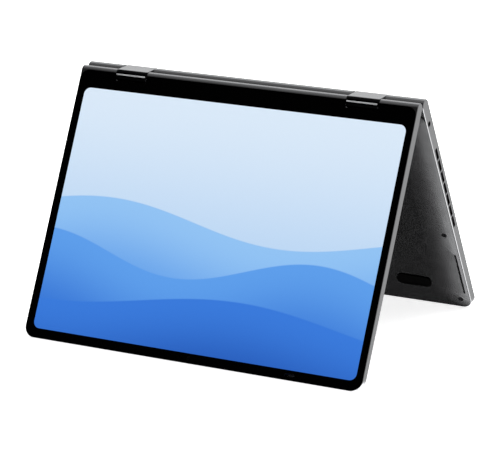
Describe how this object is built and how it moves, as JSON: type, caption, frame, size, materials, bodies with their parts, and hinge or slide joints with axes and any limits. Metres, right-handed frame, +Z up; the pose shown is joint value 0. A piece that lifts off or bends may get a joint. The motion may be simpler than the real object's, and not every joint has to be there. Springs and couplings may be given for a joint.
{
  "type": "convertible laptop computer",
  "caption": "Convertible laptop standing as a tent: touch screen half and keyboard half on two geared two-axis hinges that turn right round.",
  "frame": {"origin": "on the ground in the middle of the footprint of the two free edges that the tent stands on", "axes": "+Z up; +X across the computer, towards its audio jack side; -Y the way the screen faces"},
  "size_m": [0.294, 0.2212, 0.1978],
  "materials": {
    "case": "anodised dark grey, fine bead blast",
    "hinge_metal": "satin grey",
    "keys": "fine matte black",
    "frame_plastic": "matte black",
    "rubber": "matte black",
    "glass": "clear and glossy",
    "ink": "printed black",
    "screen": "lit display",
    "circuit": "solder mask",
    "chip": "moulded black",
    "copper": "bare copper",
    "steel": "machined steel",
    "battery": "wrapped pouch"
  },
  "bodies": {
    "base": {"top_case": "case", "bottom_cover": "case", "bottom_screws": "steel", "front_feet": "rubber", "rear_foot": "rubber", "keyboard_frame": "keys", "keyboard_plate": "steel", "touchpad_bracket": "steel", "touchpad_switch": "frame_plastic", "mainboard": "circuit", "board_standoffs": "steel", "board_screws": "steel", "processor": "chip", "cold_plate": "copper", "heat_pipe": "copper", "heatsink_fins": "copper", "fan_housing": "chip", "memory_chips": "chip", "ssd_module": "circuit", "wifi_card": "circuit", "battery_cells": "battery", "battery_frame": "frame_plastic", "speakers": "frame_plastic", "audio_jack": "chip", "usb_c_sockets": "steel", "vent_screen": "steel", "base_magnets": "steel", "hinge_base_arms": "steel", "hinge_base_screws": "steel", "hinge_base_gears": "steel"},
    "hinge_blocks": {"hinge_covers": "hinge_metal", "hinge_carrier_plates": "steel", "hinge_friction_clips": "steel"},
    "idler_gears_base_side": {"idler_gears_base_side": "steel"},
    "idler_gears_lid_side": {"idler_gears_lid_side": "steel"},
    "lid": {"lid_cover": "case", "cover_glass": "glass", "bezel_mask": "ink", "display_panel": "screen", "display_backlight": "frame_plastic", "camera_module": "chip", "sensor_window": "glass", "microphones": "chip", "antennas": "frame_plastic", "lid_magnets": "steel", "hinge_lid_arms": "steel", "hinge_lid_screws": "steel", "hinge_lid_gears": "steel"},
    "fan_rotor": {"fan_rotor": "chip"},
    "touchpad": {"touchpad": "case"},
    "key_row_function": {"key_row_function": "keys"},
    "key_row_number": {"key_row_number": "keys"},
    "key_row_upper": {"key_row_upper": "keys"},
    "key_row_home": {"key_row_home": "keys"},
    "key_row_lower": {"key_row_lower": "keys"},
    "key_row_bottom": {"key_row_bottom": "keys"},
    "space_bar": {"space_bar": "keys"},
    "enter_key": {"enter_key": "keys"},
    "power_key": {"power_key": "keys"}
  },
  "joints": [
    {"name": "hinge_base_turn", "type": "hinge", "parent": "base", "child": "hinge_blocks", "pos_m": [0, 0.00632, 0.1928], "axis": [1, 0, 0], "range_deg": [-152.35, 27.65]},
    {"name": "hinge_lid_turn", "type": "hinge", "parent": "hinge_blocks", "child": "lid", "pos_m": [0, -0.00428, 0.19286], "axis": [1, 0, 0], "range_deg": [-152.35, 27.65]},
    {"name": "idler_base_side_turn", "type": "hinge", "parent": "hinge_blocks", "child": "idler_gears_base_side", "pos_m": [0, 0.00279, 0.19282], "axis": [1, 0, 0], "range_deg": [-152.35, 27.65]},
    {"name": "idler_lid_side_turn", "type": "hinge", "parent": "hinge_blocks", "child": "idler_gears_lid_side", "pos_m": [0, -0.00075, 0.19284], "axis": [1, 0, 0], "range_deg": [-27.65, 152.35]},
    {"name": "fan_spin", "type": "hinge", "parent": "base", "child": "fan_rotor", "pos_m": [0.092, 0.04636, 0.11443], "axis": [0, 0.8884, 0.459], "continuous": true},
    {"name": "touchpad_click", "type": "hinge", "parent": "base", "child": "touchpad", "pos_m": [0, 0.07443, 0.06872], "axis": [-1, 0, 0], "range_deg": [0, 0.3], "stiffness_Nm_per_rad": 15, "springref_deg": -0.17},
    {"name": "key_row_function_press", "type": "slide", "parent": "base", "child": "key_row_function", "axis": [0, -0.8884, -0.459], "range_m": [0, 0.0013], "stiffness_N_per_m": 2000, "springref_m": -0.0006},
    {"name": "key_row_number_press", "type": "slide", "parent": "base", "child": "key_row_number", "axis": [0, -0.8884, -0.459], "range_m": [0, 0.0013], "stiffness_N_per_m": 2000, "springref_m": -0.0006},
    {"name": "key_row_upper_press", "type": "slide", "parent": "base", "child": "key_row_upper", "axis": [0, -0.8884, -0.459], "range_m": [0, 0.0013], "stiffness_N_per_m": 2000, "springref_m": -0.0006},
    {"name": "key_row_home_press", "type": "slide", "parent": "base", "child": "key_row_home", "axis": [0, -0.8884, -0.459], "range_m": [0, 0.0013], "stiffness_N_per_m": 2000, "springref_m": -0.0006},
    {"name": "key_row_lower_press", "type": "slide", "parent": "base", "child": "key_row_lower", "axis": [0, -0.8884, -0.459], "range_m": [0, 0.0013], "stiffness_N_per_m": 2000, "springref_m": -0.0006},
    {"name": "key_row_bottom_press", "type": "slide", "parent": "base", "child": "key_row_bottom", "axis": [0, -0.8884, -0.459], "range_m": [0, 0.0013], "stiffness_N_per_m": 2000, "springref_m": -0.0006},
    {"name": "space_bar_press", "type": "slide", "parent": "base", "child": "space_bar", "axis": [0, -0.8884, -0.459], "range_m": [0, 0.0013], "stiffness_N_per_m": 500, "springref_m": -0.0006},
    {"name": "enter_key_press", "type": "slide", "parent": "base", "child": "enter_key", "axis": [0, -0.8884, -0.459], "range_m": [0, 0.0013], "stiffness_N_per_m": 350, "springref_m": -0.0006},
    {"name": "power_key_press", "type": "slide", "parent": "base", "child": "power_key", "axis": [0, -0.8884, -0.459], "range_m": [0, 0.0013], "stiffness_N_per_m": 350, "springref_m": -0.0006}
  ],
  "couplings": [
    {"joint": "hinge_lid_turn", "follows": "hinge_base_turn", "ratio": 1},
    {"joint": "idler_base_side_turn", "follows": "hinge_base_turn", "ratio": 1},
    {"joint": "idler_lid_side_turn", "follows": "hinge_base_turn", "ratio": -1}
  ]
}
